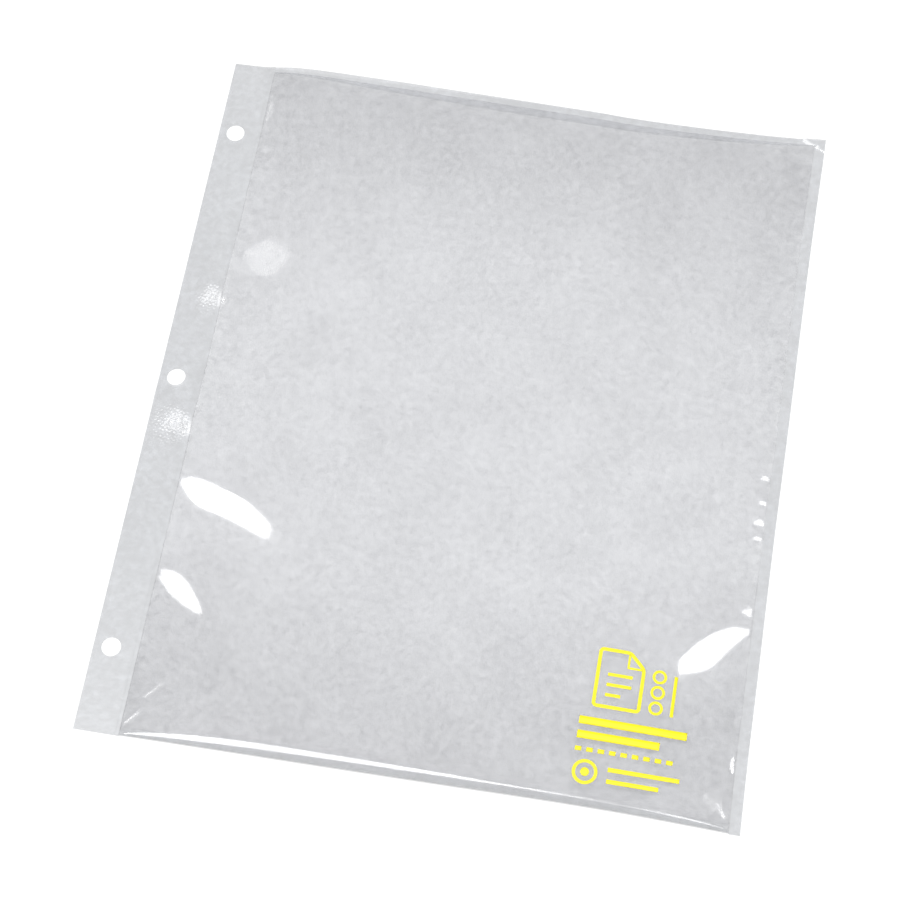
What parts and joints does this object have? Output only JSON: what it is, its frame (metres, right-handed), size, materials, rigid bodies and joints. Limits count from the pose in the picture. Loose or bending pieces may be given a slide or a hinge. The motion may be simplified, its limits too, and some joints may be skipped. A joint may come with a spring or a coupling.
{
  "type": "document sleeve",
  "caption": "Clear dissipative vinyl document sleeve: a folded pocket open at one end, welded down both sides, with a punched binding strip.",
  "frame": {"origin": "middle of the footprint, on the surface that the sleeve lies on", "axes": "+X across the sleeve away from the binding strip, +Y up the page towards the open mouth, +Z out of the front film"},
  "size_m": [0.2366, 0.2794, 0.0058],
  "materials": {
    "film": "clear glossy vinyl film with a faint cloudy haze",
    "weld": "two vinyl films pressed and melted into one band",
    "ink": "opaque yellow screen-printed ink"
  },
  "bodies": {
    "pocket": {"left_weld": "weld", "back_panel": "film", "bottom_fold": "film", "front_panel": "film", "right_weld": "weld"},
    "strip": {"binding_strip": "film"}
  },
  "joints": [
    {"name": "strip_flex", "type": "hinge", "parent": "pocket", "child": "strip", "pos_m": [-0.1033, 0, 0.00015], "axis": [0, 1, 0], "range_deg": [-90, 90], "stiffness_Nm_per_rad": 0.004}
  ]
}
